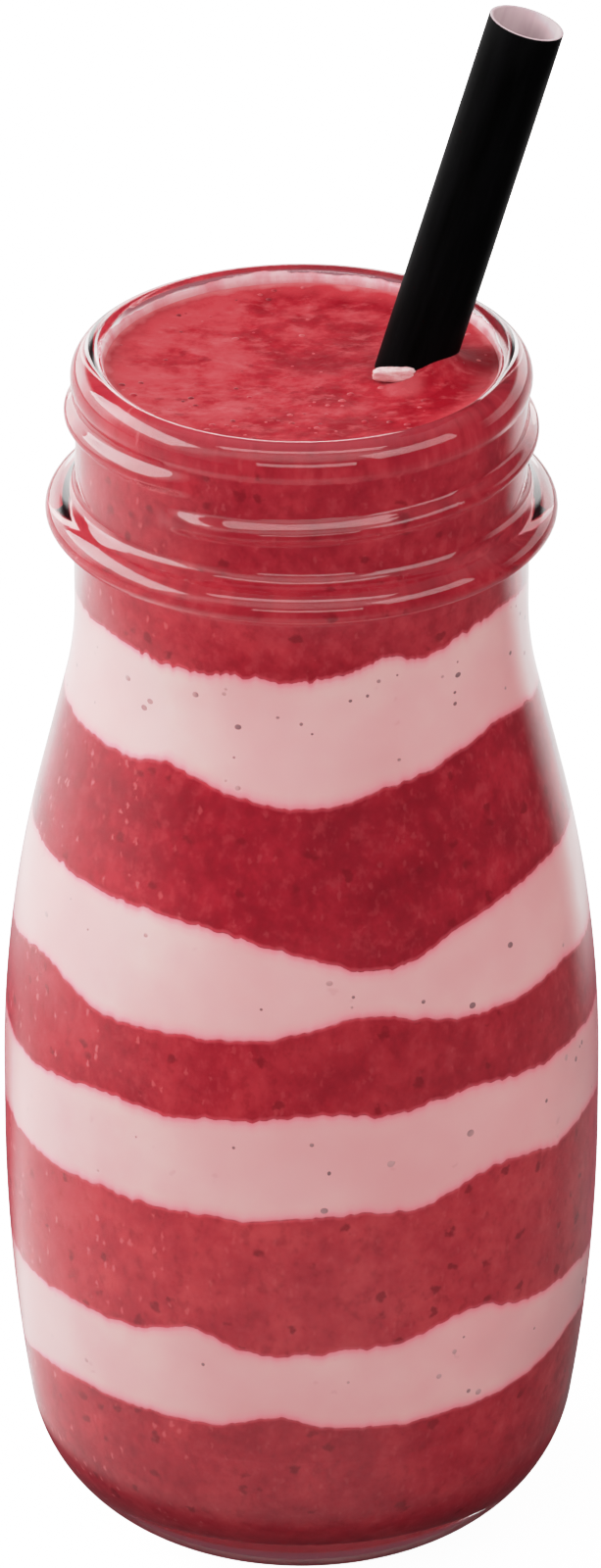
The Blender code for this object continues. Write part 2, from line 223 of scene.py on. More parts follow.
def heel_and_wall(wall_radius, heel_radius, heel_end, base):
    """From the edge of the flat floor round the heel and up the wall to its widest ring."""
    rise = WALL_TOP - base - heel_radius * (1 - math.sin(heel_end))
    barrel = rise / math.sin(heel_end)
    foot = wall_radius - barrel * (1 - math.cos(heel_end)) - heel_radius * math.cos(heel_end)
    heel = arc((foot, base + heel_radius), (heel_radius, heel_radius), -math.pi / 2, -heel_end, 26)
    wall = arc((wall_radius - barrel, WALL_TOP), (barrel, barrel), -heel_end, 0, 14)
    return [(foot, base)] + heel + wall


def shoulder(start_radius, end_radius, convex, concave):
    """From the top of the wall over an outward bend, a straight slope and an inward bend to the neck."""
    lean = SHOULDER_LEAN
    bent = (convex + concave) * (1 - math.cos(lean))
    slope_rise = (start_radius - end_radius - bent) / math.tan(lean)
    end_height = SHOULDER_START + (convex + concave) * math.sin(lean) + slope_rise
    top = arc((start_radius - convex, SHOULDER_START), (convex, convex), 0, lean, 18)
    neck = arc((end_radius + concave, end_height), (concave, concave), math.pi + lean, math.pi, 12)
    slope_end = (end_radius + concave * (1 - math.cos(lean)), end_height - concave * math.sin(lean))
    return [(start_radius, SHOULDER_START)] + top + [slope_end] + neck


def outer_outline():
    """The outside, from the hollow of the foot to the crest of the lip."""
    hollow = []
    for share in np.linspace(0.12, 1.0, 9):
        hollow.append((FOOT_HOLLOW_RADIUS * share, FOOT_HOLLOW_DEPTH * (1 - share * share)))
    wall = heel_and_wall(BODY_RADIUS, HEEL_RADIUS, HEEL_END, 0.0)
    slope = shoulder(BODY_RADIUS, NECK_RADIUS, SHOULDER_CURVE, NECK_CURVE)
    fillet = BELOW_BEAD_FILLET
    low_fillet = arc((NECK_RADIUS + fillet, BEAD_HEIGHT - BEAD_HALF - fillet), (fillet, fillet),
                     math.pi, math.pi * 0.55, 6)
    bead = arc((NECK_RADIUS, BEAD_HEIGHT), (BEAD_RADIUS - NECK_RADIUS, BEAD_HALF), -1.35, 1.2, 22)
    fillet = ABOVE_BEAD_FILLET
    high_fillet = arc((FINISH_RADIUS + fillet, BEAD_HEIGHT + BEAD_HALF + fillet), (fillet, fillet),
                      -math.pi * 0.57, -math.pi, 8)
    finish = [(FINISH_RADIUS, z) for z in np.arange(THREAD_ZONE[0], THREAD_ZONE[1], THREAD_RING_STEP)]
    lip_size = (LIP_RADIUS - LIP_CREST_RADIUS, LIP_DROP)
    lip = arc((LIP_CREST_RADIUS, HEIGHT - LIP_DROP), lip_size, -0.45, math.pi / 2, 18)
    return hollow + wall + slope + low_fillet + bead + high_fillet + finish + lip


def inner_outline():
    """The inside, from the middle of the floor to the crest of the lip."""
    wall = heel_and_wall(INNER_RADIUS, INNER_HEEL_RADIUS, INNER_HEEL_END, FLOOR_THICKNESS)
    thickness = BODY_RADIUS - INNER_RADIUS
    slope = shoulder(INNER_RADIUS, BORE_RADIUS, SHOULDER_CURVE - thickness, NECK_CURVE + thickness)
    centre = (LIP_CREST_RADIUS, HEIGHT - LIP_INNER_DROP)
    mouth_size = (LIP_CREST_RADIUS - BORE_RADIUS, LIP_INNER_DROP)
    mouth = [(BORE_RADIUS, HEIGHT - LIP_INNER_DROP)] + arc(centre, mouth_size, math.pi, math.pi / 2, 8)
    floor = [(wall[0][0] * share, FLOOR_THICKNESS) for share in (0.3, 0.65)]
    return floor + wall + slope + mouth


INNER = np.array(inner_outline())


def inner_radius(height):
    """Radius of the inside of the glass at one or more heights."""
    return np.interp(height, INNER[:, 1], INNER[:, 0])


def azimuths(count):
    """Degrees round from the front, towards the right."""
    return np.arange(count) * (360.0 / count)


def around(radius, height, count):
    """Rings of points for arrays of radius and height, one row a ring."""
    angle = np.radians(azimuths(count))[None, :]
    radius, height = np.broadcast_arrays(radius, height)
    return np.stack([radius * np.sin(angle), -radius * np.cos(angle), height + 0.0 * angle], -1)


def ring(radius, height, count):
    """One ring of points. radius and height are numbers, or arrays with a value for each azimuth."""
    radius, height = np.broadcast_to(radius, count), np.broadcast_to(height, count)
    return around(radius[None, :], height[None, :], count)[0]


def add_object(name, data):
    """A new object in the scene."""
    made = bpy.data.objects.new(name, data)
    bpy.context.scene.collection.objects.link(made)
    return made


def closed_rings(name, rings, first_pole, last_pole, values=None):
    """A closed mesh: a fan, quads between rings, a fan. values maps attribute names to arrays."""
    count, facets = rings.shape[:2]
    index = np.arange(count * facets).reshape(count, facets)
    onward = np.roll(index, -1, axis=1)
    quads = np.stack([index[:-1], onward[:-1], onward[1:], index[1:]], -1).reshape(-1, 4)
    first, last = count * facets, count * facets + 1
    bottom = np.stack([onward[0], index[0], np.full(facets, first)], -1)
    top = np.stack([index[-1], onward[-1], np.full(facets, last)], -1)
    points = np.concatenate([rings.reshape(-1, 3), [first_pole], [last_pole]])
    mesh = bpy.data.meshes.new(name)
    mesh.from_pydata(points.tolist(), [], quads.tolist() + bottom.tolist() + top.tolist())
    for key, grid in (values or {}).items():
        flat = np.concatenate([grid.reshape(-1), [grid.flat[0], grid.flat[-1]]])
        mesh.attributes.new(key, "FLOAT", "POINT").data.foreach_set("value", flat.astype(np.float32))
    mesh.shade_smooth()
    return add_object(name, mesh)


def ring_loop(name, rings):
    """A mesh whose last ring joins its first, as a thin shell's or a tube's outline does."""
    count, facets = rings.shape[:2]
    index = np.arange(count * facets).reshape(count, facets)
    onward = np.roll(index, -1, axis=1)
    corners = [index, onward, np.roll(onward, -1, axis=0), np.roll(index, -1, axis=0)]
    mesh = bpy.data.meshes.new(name)
    mesh.from_pydata(rings.reshape(-1, 3).tolist(), [], np.stack(corners, -1).reshape(-1, 4).tolist())
    mesh.shade_smooth()
    return add_object(name, mesh)


def apply_modifiers(piece):
    """Bakes the piece's modifiers into its mesh."""
    graph = bpy.context.evaluated_depsgraph_get()
    baked = bpy.data.meshes.new_from_object(piece.evaluated_get(graph))
    old = piece.data
    piece.modifiers.clear()
    piece.data = baked
    bpy.data.meshes.remove(old)


def node(tree, kind, **sockets):
    """A shader node with its sockets set by name."""
    made = tree.nodes.new(kind)
    for key, value in sockets.items():
        made.inputs[key].default_value = value
    return made


def new_material(name):
    """A material with its node tree and its Principled shader."""
    made = bpy.data.materials.new(name)
    made.use_nodes = True
    return made, made.node_tree, made.node_tree.nodes["Principled BSDF"]


def own_place(tree):
    """The piece's own coordinates, in metres."""
    return tree.nodes.new("ShaderNodeTexCoord").outputs["Object"]


def axes_of(tree, vector):
    """The outputs X, Y and Z of a vector."""
    split = tree.nodes.new("ShaderNodeSeparateXYZ")
    tree.links.new(vector, split.inputs["Vector"])
    return split.outputs


def stretched(tree, vector, scales):
    """The vector with each axis scaled."""
    mapping = tree.nodes.new("ShaderNodeMapping")
    mapping.inputs["Scale"].default_value = scales
    tree.links.new(vector, mapping.inputs["Vector"])
    return mapping.outputs["Vector"]


def noise_at(tree, scale, detail=3.0, roughness=0.55, stretch=None):
    """Noise over the piece's own coordinates. scale is in waves per metre."""
    where = own_place(tree)
    if stretch:
        where = stretched(tree, where, stretch)
    made = node(tree, "ShaderNodeTexNoise", Scale=scale, Detail=detail, Roughness=roughness)
    tree.links.new(where, made.inputs["Vector"])
    return made.outputs["Fac"]


def ramp(tree, source, stops):
    """A colour ramp. stops are (position, colour)."""
    made = tree.nodes.new("ShaderNodeValToRGB")
    elements = made.color_ramp.elements
    while len(elements) < len(stops):
        elements.new(0.5)
    for element, (position, colour) in zip(elements, stops):
        element.position = position
        element.color = (*colour, 1.0)
    tree.links.new(source, made.inputs["Fac"])
    return made.outputs["Color"]


def remap(tree, source, low, high, to_low=0.0, to_high=1.0, curve="LINEAR"):
    """Maps low to to_low and high to to_high, and holds those beyond."""
    made = tree.nodes.new("ShaderNodeMapRange")
    made.interpolation_type = curve
    for key, value in (("From Min", low), ("From Max", high), ("To Min", to_low), ("To Max", to_high)):
        made.inputs[key].default_value = value
    tree.links.new(source, made.inputs["Value"])
    return made.outputs["Result"]


def smooth_rise(tree, source, low, high, reach=1.0):
    """0 until low, then a smooth rise to reach at high."""
    return remap(tree, source, low, high, 0.0, reach, "SMOOTHSTEP")


def mix(tree, factor, first, second, blend="MIX"):
    """Mixes two colours, each a value or a link, by factor."""
    made = tree.nodes.new("ShaderNodeMix")
    made.data_type = "RGBA"
    made.blend_type = blend
    colours_in, colour_out = (6, 7), 2
    if isinstance(factor, float):
        made.inputs["Factor"].default_value = factor
    else:
        tree.links.new(factor, made.inputs["Factor"])
    for key, value in zip(colours_in, (first, second)):
        if isinstance(value, tuple):
            made.inputs[key].default_value = (*value, 1.0)
        else:
            tree.links.new(value, made.inputs[key])
    return made.outputs[colour_out]


def bump(tree, shader, height, strength, distance):
    made = node(tree, "ShaderNodeBump", Strength=strength, Distance=distance)
    tree.links.new(height, made.inputs["Height"])
    tree.links.new(made.outputs["Normal"], shader.inputs["Normal"])


def attribute(tree, name):
    """A value that the mesh carries."""
    made = tree.nodes.new("ShaderNodeAttribute")
    made.attribute_name = name
    return made.outputs["Fac"]


def math_node(tree, operation, first, second):
    """One step of arithmetic on two values, each a number or a link."""
    made = tree.nodes.new("ShaderNodeMath")
    made.operation = operation
    for socket, value in zip(made.inputs, (first, second)):
        if isinstance(value, float):
            socket.default_value = value
        else:
            tree.links.new(value, socket)
    return made.outputs[0]


def vector_math(tree, operation, vector):
    made = tree.nodes.new("ShaderNodeVectorMath")
    made.operation = operation
    tree.links.new(vector, made.inputs[0])
    return made


def scattered_bits(tree, scale, size, share, stretch=None):
    """1 in small uneven bits, 0 elsewhere. size is in cells, share is how many cells have one."""
    where = own_place(tree)
    wobble = node(tree, "ShaderNodeTexNoise", Scale=scale * 1.7, Detail=2.0)
    tree.links.new(where, wobble.inputs["Vector"])
    moved = vector_math(tree, "MULTIPLY_ADD", wobble.outputs["Color"])
    moved.inputs[1].default_value = (0.9 / scale,) * 3
    tree.links.new(where, moved.inputs[2])
    vector = moved.outputs["Vector"]
    if stretch:
        vector = stretched(tree, vector, stretch)
    cells = node(tree, "ShaderNodeTexVoronoi", Scale=scale)
    tree.links.new(vector, cells.inputs["Vector"])
    inside = remap(tree, cells.outputs["Distance"], size * 0.55, size, 1.0, 0.0)
    split = tree.nodes.new("ShaderNodeSeparateColor")
    tree.links.new(cells.outputs["Color"], split.inputs["Color"])
    chosen = math_node(tree, "LESS_THAN", split.outputs["Red"], share)
    return math_node(tree, "MULTIPLY", inside, chosen)


def glass_material():
    """Clear glass, very slightly wavy, that lets lamplight through to what it holds."""
    made, tree, shader = new_material("clear_glass")
    shader.inputs["Base Color"].default_value = (0.985, 0.992, 0.99, 1.0)
    shader.inputs["Roughness"].default_value = 0.035
    shader.inputs["IOR"].default_value = 1.5
    shader.inputs["Transmission Weight"].default_value = 1.0
    bump(tree, shader, noise_at(tree, 70.0, detail=1.0), 0.05, 0.0006)
    clear = tree.nodes.new("ShaderNodeBsdfTransparent")
    clear.inputs["Color"].default_value = (0.95, 0.95, 0.95, 1.0)
    path = tree.nodes.new("ShaderNodeLightPath")
    choose = tree.nodes.new("ShaderNodeMixShader")
    tree.links.new(path.outputs["Is Shadow Ray"], choose.inputs["Fac"])
    tree.links.new(shader.outputs["BSDF"], choose.inputs[1])
    tree.links.new(clear.outputs["BSDF"], choose.inputs[2])
    tree.links.new(choose.outputs["Shader"], tree.nodes["Material Output"].inputs["Surface"])
    return made


def wet_surface(shader, roughness, gloss, glow, depth, spread=(1.0, 0.2, 0.1)):
    """A wet surface. glow is how much light enters, and depth times spread how far each colour goes."""
    shader.inputs["Roughness"].default_value = roughness
    shader.inputs["Specular IOR Level"].default_value = gloss
    shader.inputs["Subsurface Weight"].default_value = glow
    shader.inputs["Subsurface Scale"].default_value = depth
    shader.inputs["Subsurface Radius"].default_value = spread


def smoothie_material(name):
    """Smoothie behind glass: blotches, dark pulp and pale flecks, brighter along a boundary. The flecks
    are stronger towards the left, as painted light from the lamp on that side.
    """
    made, tree, shader = new_material(name)
    blotches = noise_at(tree, 210.0, detail=4.0, roughness=0.6)
    deep = ramp(tree, blotches, (
        (0.30, (0.20, 0.002, 0.010)),
        (0.50, (0.255, 0.0045, 0.0145)),
        (0.70, (0.33, 0.010, 0.022)),
    ))
    light = ramp(tree, blotches, (
        (0.30, (0.32, 0.010, 0.022)),
        (0.50, (0.375, 0.020, 0.031)),
        (0.70, (0.44, 0.040, 0.048)),
    ))
    colour = mix(tree, attribute(tree, "tone"), deep, light)
    wisps = noise_at(tree, 800.0, detail=3.0, roughness=0.6, stretch=(1.0, 1.0, 0.75))
    colour = mix(tree, remap(tree, wisps, 0.53, 0.68, 0.0, 0.20), colour, (0.50, 0.060, 0.072))
    colour = mix(tree, remap(tree, wisps, 0.47, 0.34, 0.0, 0.40), colour, (0.19, 0.0015, 0.008))
    # pale streaks: their texture is the smoothie's own, their strength towards the left is painted light
    # from the lamp on that side
    streaks = scattered_bits(tree, 1300.0, 0.34, 0.20, stretch=(1.0, 1.0, 0.5))
    shown = remap(tree, axes_of(tree, own_place(tree))["X"], -22 * MM, -6 * MM, 0.70, 0.12)
    colour = mix(tree, math_node(tree, "MULTIPLY", streaks, shown), colour, (0.60, 0.12, 0.13))
    pulp = scattered_bits(tree, 600.0, 0.42, 0.12)
    colour = mix(tree, math_node(tree, "MULTIPLY", pulp, 0.75), colour, (0.165, 0.0015, 0.007))
    near_edge = remap(tree, attribute(tree, "edge"), 0.0, 0.4, 0.6, 0.0)
    colour = mix(tree, near_edge, colour, (0.62, 0.09, 0.12))
    tree.links.new(colour, shader.inputs["Base Color"])
    wet_surface(shader, 0.6, 0.1, 0.2, 1.2 * MM, (1.0, 0.2, 0.2))
    bump(tree, shader, noise_at(tree, 1100.0, detail=3.0), 0.15, 0.0003)
    return made


def surface_material(name):
    """The open surface: milky red, streaked, lighter towards the left, brighter near the glass, with a
    pale foam rim and the straw's shadow painted on it.
    """
    made, tree, shader = new_material(name)
    place = axes_of(tree, own_place(tree))
    # lighter towards the left, darker towards the right
    lighter_leftward = remap(tree, place["X"], -18 * MM, 14 * MM, 0.12, -0.10)
    clouds = noise_at(tree, 190.0, detail=6.0, roughness=0.65)
    colour = ramp(tree, math_node(tree, "ADD", clouds, lighter_leftward), (
        (0.38, (0.205, 0.005, 0.011)),
        (0.50, (0.275, 0.013, 0.021)),
        (0.63, (0.360, 0.042, 0.051)),
    ))
    smears = noise_at(tree, 620.0, detail=4.0, roughness=0.65, stretch=(0.6, 1.1, 1.0))
    colour = mix(tree, remap(tree, smears, 0.53, 0.68, 0.0, 0.45), colour, (0.45, 0.090, 0.10))
    colour = mix(tree, remap(tree, smears, 0.46, 0.34, 0.0, 0.35), colour, (0.22, 0.006, 0.014))
    pulp = scattered_bits(tree, 560.0, 0.36, 0.14, stretch=(0.8, 1.0, 1.0))
    colour = mix(tree, math_node(tree, "MULTIPLY", pulp, 0.6), colour, (0.17, 0.004, 0.010))
    ragged = remap(tree, noise_at(tree, 330.0, detail=3.0), 0.0, 1.0, -1.1, 1.1)
    rim = math_node(tree, "ADD", attribute(tree, "rim"), ragged)
    colour = mix(tree, remap(tree, rim, 1.2, 3.0, 0.55, 0.0), colour, (0.40, 0.045, 0.055))
    colour = mix(tree, remap(tree, rim, 0.2, 0.9, 0.8, 0.0), colour, (0.52, 0.15, 0.16))
    flat = tree.nodes.new("ShaderNodeCombineXYZ")
    tree.links.new(place["X"], flat.inputs["X"])
    tree.links.new(place["Y"], flat.inputs["Y"])
    # darker and paler patches, and the straw's shadow painted on the surface to its right
    for centre, radius, share, tint in PATCHES_AND_STRAW_SHADOW:
        spot = vector_math(tree, "DISTANCE", flat.outputs["Vector"])
        spot.inputs[1].default_value = centre
        patch_and_shadow_share = smooth_rise(tree, spot.outputs["Value"], radius, 0.3 * radius, share)
        colour = mix(tree, patch_and_shadow_share, colour, tint)
    tree.links.new(colour, shader.inputs["Base Color"])
    wet_surface(shader, 0.45, 0.02, 0.2, 1.0 * MM, (1.0, 0.25, 0.25))
    bump(tree, shader, noise_at(tree, 1300.0, detail=3.0), 0.22, 0.0003)
    return made


def cream_material(name):
    """Pale pink cream: nearly even, faintly clouded, pinker along a boundary."""
    made, tree, shader = new_material(name)
    colour = ramp(tree, noise_at(tree, 95.0, detail=3.0, roughness=0.5), (
        (0.30, (0.65, 0.335, 0.338)),
        (0.52, (0.68, 0.372, 0.370)),
        (0.75, (0.71, 0.425, 0.412)),
    ))
    faint = scattered_bits(tree, 520.0, 0.20, 0.14)
    colour = mix(tree, math_node(tree, "MULTIPLY", faint, 0.22), colour, (0.40, 0.22, 0.22))
    edge = attribute(tree, "edge")
    colour = mix(tree, remap(tree, edge, 0.0, 1.3, 0.6, 0.0), colour, (0.78, 0.25, 0.29))
    colour = mix(tree, remap(tree, edge, 0.0, 0.6, 0.75, 0.0), colour, (0.78, 0.17, 0.22))
    tree.links.new(colour, shader.inputs["Base Color"])
    wet_surface(shader, 0.55, 0.1, 0.25, 1.5 * MM, (1.0, 0.5, 0.4))
    bump(tree, shader, noise_at(tree, 700.0, detail=2.0), 0.08, 0.0003)
    return made


def dab_material(name):
    """Whipped cream in the open, with small pits, redder at its foot."""
    made, tree, shader = new_material(name)
    pits = noise_at(tree, 1400.0, detail=3.0)
    colour = ramp(tree, pits, ((0.35, (0.54, 0.27, 0.28)), (0.6, (0.68, 0.43, 0.43))))
    foot = remap(tree, axes_of(tree, own_place(tree))["Z"], DAB.z - 0.6 * MM, DAB.z + 0.4 * MM, 0.9, 0.0)
    tree.links.new(mix(tree, foot, colour, (0.42, 0.12, 0.13)), shader.inputs["Base Color"])
    wet_surface(shader, 0.5, 0.15, 0.3, 1.0 * MM, (1.0, 0.5, 0.4))
    bump(tree, shader, pits, 0.4, 0.0003)
    return made


def paper_material(name, colour, dark, roughness):
    """Rolled paper: a faint grain along the straw."""
    made, tree, shader = new_material(name)
    grain = noise_at(tree, 600.0, detail=4.0, stretch=(1.0, 1.0, 0.12))
    tree.links.new(ramp(tree, grain, ((0.35, dark), (0.65, colour))), shader.inputs["Base Color"])
    shader.inputs["Roughness"].default_value = roughness
    shader.inputs["Specular IOR Level"].default_value = 0.012
    bump(tree, shader, grain, 0.12, 0.0002)
    return made


def film_material(name):
    """A thin smear of the drink left on the glass above its level."""
    made, tree, shader = new_material(name)
    streaks = noise_at(tree, 500.0, detail=4.0, stretch=(1.0, 1.0, 0.5))
    colour = ramp(tree, streaks, ((0.35, (0.66, 0.20, 0.23)), (0.6, (0.76, 0.38, 0.40))))
    tree.links.new(colour, shader.inputs["Base Color"])
    shader.inputs["Roughness"].default_value = 0.3
    shader.inputs["Alpha"].default_value = 0.82
    bump(tree, shader, streaks, 0.2, 0.0002)
    return made


def soft_spots(tree, shader, scale, dark, pale):
    """Colours a shader by soft noise."""
    spots = noise_at(tree, scale, detail=1.0)
    tree.links.new(ramp(tree, spots, ((0.4, dark), (0.6, pale))), shader.inputs["Base Color"])


def foam_material(name):
    """Small wet bubbles, a little paler than the surface they sit in."""
    made, tree, shader = new_material(name)
    soft_spots(tree, shader, 420.0, (0.30, 0.020, 0.030), (0.42, 0.070, 0.080))
    wet_surface(shader, 0.3, 0.12, 0.15, 0.6 * MM)
    return made


def bit_material(name):
    """Dark red bits of fruit."""
    made, tree, shader = new_material(name)
    soft_spots(tree, shader, 300.0, (0.15, 0.004, 0.010), (0.30, 0.020, 0.028))
    wet_surface(shader, 0.4, 0.25, 0.1, 0.5 * MM)
    return made


def seed_material(name):
    """Grey-pink seeds, as they look through the cream that covers them."""
    made, tree, shader = new_material(name)
    soft_spots(tree, shader, 260.0, (0.24, 0.13, 0.14), (0.50, 0.30, 0.30))
    wet_surface(shader, 0.5, 0.1, 0.0, 1.0 * MM)
    return made


def thread_stand(heights, count):
    """How far the thread stands out of the wall: rows for heights, columns for azimuths."""
    total = np.zeros((len(heights), count))
    for turn in (-360.0, 0.0, 360.0):
        along = azimuths(count)[None, :] + turn
        near_end = np.minimum(along - THREAD_START, THREAD_END - along)
        size = np.sin(np.pi / 2 * np.clip(near_end / THREAD_RUN_OUT, 0.0, 1.0))
        ridge = THREAD_START_HEIGHT + THREAD_PITCH * (along - THREAD_START) / 360.0
        away = np.clip(np.abs(np.asarray(heights)[:, None] - ridge) / THREAD_REACH, 0.0, 1.0)
        total = np.maximum(total, size * (0.5 + 0.5 * np.cos(np.pi * away ** 1.25)))
    return total * THREAD_STAND


def make_bottle():
    """One turned shell of glass, with the thread raised on its finish."""
    profile = np.array(outer_outline() + inner_outline()[-2::-1])
    outer_count = len(outer_outline())
    radius = np.repeat(profile[:, :1], AROUND, axis=1)
    finish = np.arange(len(profile)) < outer_count
    finish &= (profile[:, 1] > BEAD_HEIGHT + BEAD_HALF) & (profile[:, 1] < HEIGHT - 0.6 * LIP_DROP)
    radius[finish] = np.maximum(radius[finish], FINISH_RADIUS + thread_stand(profile[finish, 1], AROUND))
    rings = around(radius, profile[:, 1:], AROUND)
    made = closed_rings("bottle_glass", rings, (0, 0, FOOT_HOLLOW_DEPTH), (0, 0, FLOOR_THICKNESS))
    made.data.materials.append(glass_material())
    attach(made, "root")
    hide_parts("bottle")


def wave(swells, angles):
    """The sum of a boundary's swells at each azimuth."""
    total = np.zeros(len(angles))
    for centre, height, spread in swells:
        away = (angles - centre + 180.0) % 360.0 - 180.0
        total += height * MM * np.exp(-((away / spread) ** 2))
    return total


def ragged_line(angles, seed):
    """Small unevenness along a boundary, the same each run."""
    values = []
    for angle in np.radians(angles):
        where = Vector((math.cos(angle), math.sin(angle), 0.37 * seed))
        values.append(noise.fractal(where * 8.0, 0.8, 2.2, 4) + 0.9 * noise.noise(where * 34.0))
    return np.array(values) * RAGGED[seed] * MM


def boundary_line(index, angles):
    """Height of a boundary at the glass, for each azimuth."""
    level, swells = BOUNDARIES[index]
    return level * MM + wave(swells, angles) + ragged_line(angles, index)


def cap_rings(line, level, shares, offset):
    """Rings across the drink at shares of its radius, level in the middle and wavy at the glass."""
    edge = inner_radius(line + offset) + REACH_INTO_WALL
    rings = []
    for share in shares:
        height = level + (line - level) * share * share + offset
        rings.append(ring(edge * share, height, len(line)))
    return rings


def side_rings(low, high, at_top):
    """Rings up a layer's side, closer together near its boundaries, with their distances from those."""
    offsets = np.array(EDGE_ROWS) * MM
    first, last = low + offsets[-1], high - offsets[-1]
    steps = max(2, round(float((last - first).mean()) / MIDDLE_ROW_STEP))
    heights = [low + offset for offset in offsets]
    heights += [first + (last - first) * step / steps for step in range(1, steps)]
    heights += [high - offset for offset in offsets[::-1]]
    rings, edges = [], []
    for height in heights:
        rings.append(ring(inner_radius(height) + REACH_INTO_WALL, height, len(low)))
        below_top = (high - height) / (RIM_STRETCH if at_top else 1.0)
        edges.append(np.minimum(height - low, below_top) / MM)
    return rings, edges


def straw_foot():
    """Where the straw's axis meets the drink's surface."""
    rise = STRAW_TOP.z - DRINK_LEVEL
    return Vector((STRAW_TOP.x - rise * math.tan(STRAW_LEAN), STRAW_TOP.y))


def surface_lift(x, y, z):
    """Unevenness of the open surface: soft ripples, and the drink heaped against the straw."""
    where = Vector((x, y, z)) * 1000.0
    ripples = 0.16 * noise.noise(where * 0.20) + 0.07 * noise.noise(where * 0.7)
    lift = ripples + 0.025 * noise.noise(where * 2.4)
    from_straw = Vector((x, y)) - straw_foot()
    away = max(0.0, from_straw.length - STRAW_RADIUS)
    along = from_straw.x * STRAW_HEAP_SIDE[0] + from_straw.y * STRAW_HEAP_SIDE[1]
    side = 0.5 + 0.5 * along / max(from_straw.length, STRAW_RADIUS)
    heap = STRAW_HEAP * side ** 3 + 0.1 * MM
    return lift * MM + heap * math.exp(-((away / STRAW_HEAP_SPREAD) ** 1.3))


def still_level(share):
    """Height of the calm surface at a share of its radius: a slight dip, and a raised rim."""
    return DRINK_LEVEL - DRINK_DIP * (1 - share * share) + MENISCUS * share ** 12


def surface_rings(count):
    """The drink's open surface from its rim inwards, with each ring's distance from the glass."""
    edge = BORE_RADIUS + REACH_INTO_WALL
    rings, rims = [], []
    for radius in np.arange(edge, 0.3 * MM, -SURFACE_RING_STEP):
        row = ring(radius, still_level(radius / edge), count)
        calm = min(1.0, (edge - radius) / (1.2 * MM)) * 0.8 + 0.2
        for point in row:
            point[2] += calm * surface_lift(*point)
        rings.append(row)
        rims.append(np.full(count, (edge - radius) / MM))
    return rings, rims


def straw_placement():
    """From the straw's own frame, upright on its lower end, to where it leans in the bottle."""
    turn = Matrix.Rotation(STRAW_LEAN, 4, "Y")
    end = STRAW_TOP - turn @ Vector((0.0, 0.0, STRAW_LENGTH))
    return Matrix.Translation(end) @ turn


def tube(name, sizes, count, closed_ends):
    """A body turned round its own Z from (radius, height) pairs, closed by fans or as a loop."""
    angle = math.tau * np.arange(count) / count
    rows = [np.stack([r * np.cos(angle), r * np.sin(angle), 0 * angle + z], -1) for r, z in sizes]
    if closed_ends:
        return closed_rings(name, np.array(rows), (0, 0, sizes[0][1]), (0, 0, sizes[-1][1]))
    return ring_loop(name, np.array(rows))


def cut_round_straw(piece):
    """Cuts the drink back to inside the straw's wall, so that it meets the straw with no gap."""
    radius = (STRAW_RADIUS + STRAW_BORE_RADIUS) / 2
    cutter = tube("straw_space", ((radius, 0.0), (radius, STRAW_LENGTH)), 64, True)
    cutter.matrix_world = straw_placement()
    modifier = piece.modifiers.new("straw", "BOOLEAN")
    modifier.operation = "DIFFERENCE"
    modifier.solver = "MANIFOLD"
    modifier.object = cutter
    apply_modifiers(piece)
    bpy.data.objects.remove(cutter, do_unlink=True)


def floor_rings(count, below):
    """Rings across the bottle's floor and up its heel, just inside the glass, as far as a height."""
    rings = []
    for radius, height in INNER:
        if height < below:
            rings.append(ring(radius + REACH_INTO_WALL, height - REACH_INTO_WALL, count))
    return rings


def layer_underside(index, angles):
    """A layer's rings from its middle out, its line at the glass and its middle."""
    if index == len(BOUNDARIES):
        rings = floor_rings(len(angles), boundary_line(index - 1, angles).min() - 0.5 * MM)
        return rings, np.full(len(angles), rings[-1][0][2]), (0, 0, FLOOR_THICKNESS - REACH_INTO_WALL)
    line, level = boundary_line(index, angles), BOUNDARIES[index][0] * MM
    rings = cap_rings(line, level, CAP_SHARES + (1.0,), -LAYER_OVERLAP)
    return rings, line, (0, 0, level - LAYER_OVERLAP)


def layer_top(index, angles):
    """A layer's rings from the glass in, their distances from it, its line there and its middle."""
    if index == 0:
        rings, rims = surface_rings(len(angles))
        return rings, rims, rings[0][:, 2], (0, 0, DRINK_LEVEL - DRINK_DIP)
    line, level = boundary_line(index - 1, angles), BOUNDARIES[index - 1][0] * MM
    rings = cap_rings(line, level, (1.0,) + CAP_SHARES[::-1], 0.0)
    return rings, [np.full(len(angles), FAR_FROM_EDGE)] * len(rings), line, (0, 0, level)


def layer_mesh(index, name):
    """A layer's closed mesh, with its distances from the boundaries and the rim, and its tone."""
    is_top, is_last = index == 0, index == len(BOUNDARIES)
    angles = azimuths(DRINK_AROUND)
    low_rings, low, low_middle = layer_underside(index, angles)
    top_rings, rims, high, top_middle = layer_top(index, angles)
    side, edges = side_rings(low, high, is_top)
    if is_last:
        edges = [(high - row[:, 2]) / MM for row in side]
    rings = np.array(low_rings + side + top_rings)
    far, at_edge = np.full(DRINK_AROUND, FAR_FROM_EDGE), np.zeros(DRINK_AROUND)
    low_edges = [far if is_last else at_edge] * len(low_rings)
    top_edges = [far if is_top else at_edge] * len(top_rings)
    values = {
        "edge": np.array(low_edges + edges + top_edges),
        "rim": np.array([far] * (len(low_rings) + len(side)) + rims),
        "tone": np.full(rings.shape[:2], RED_TONES[index // 2]),
    }
    return closed_rings(name, rings, low_middle, top_middle, values), len(top_rings)


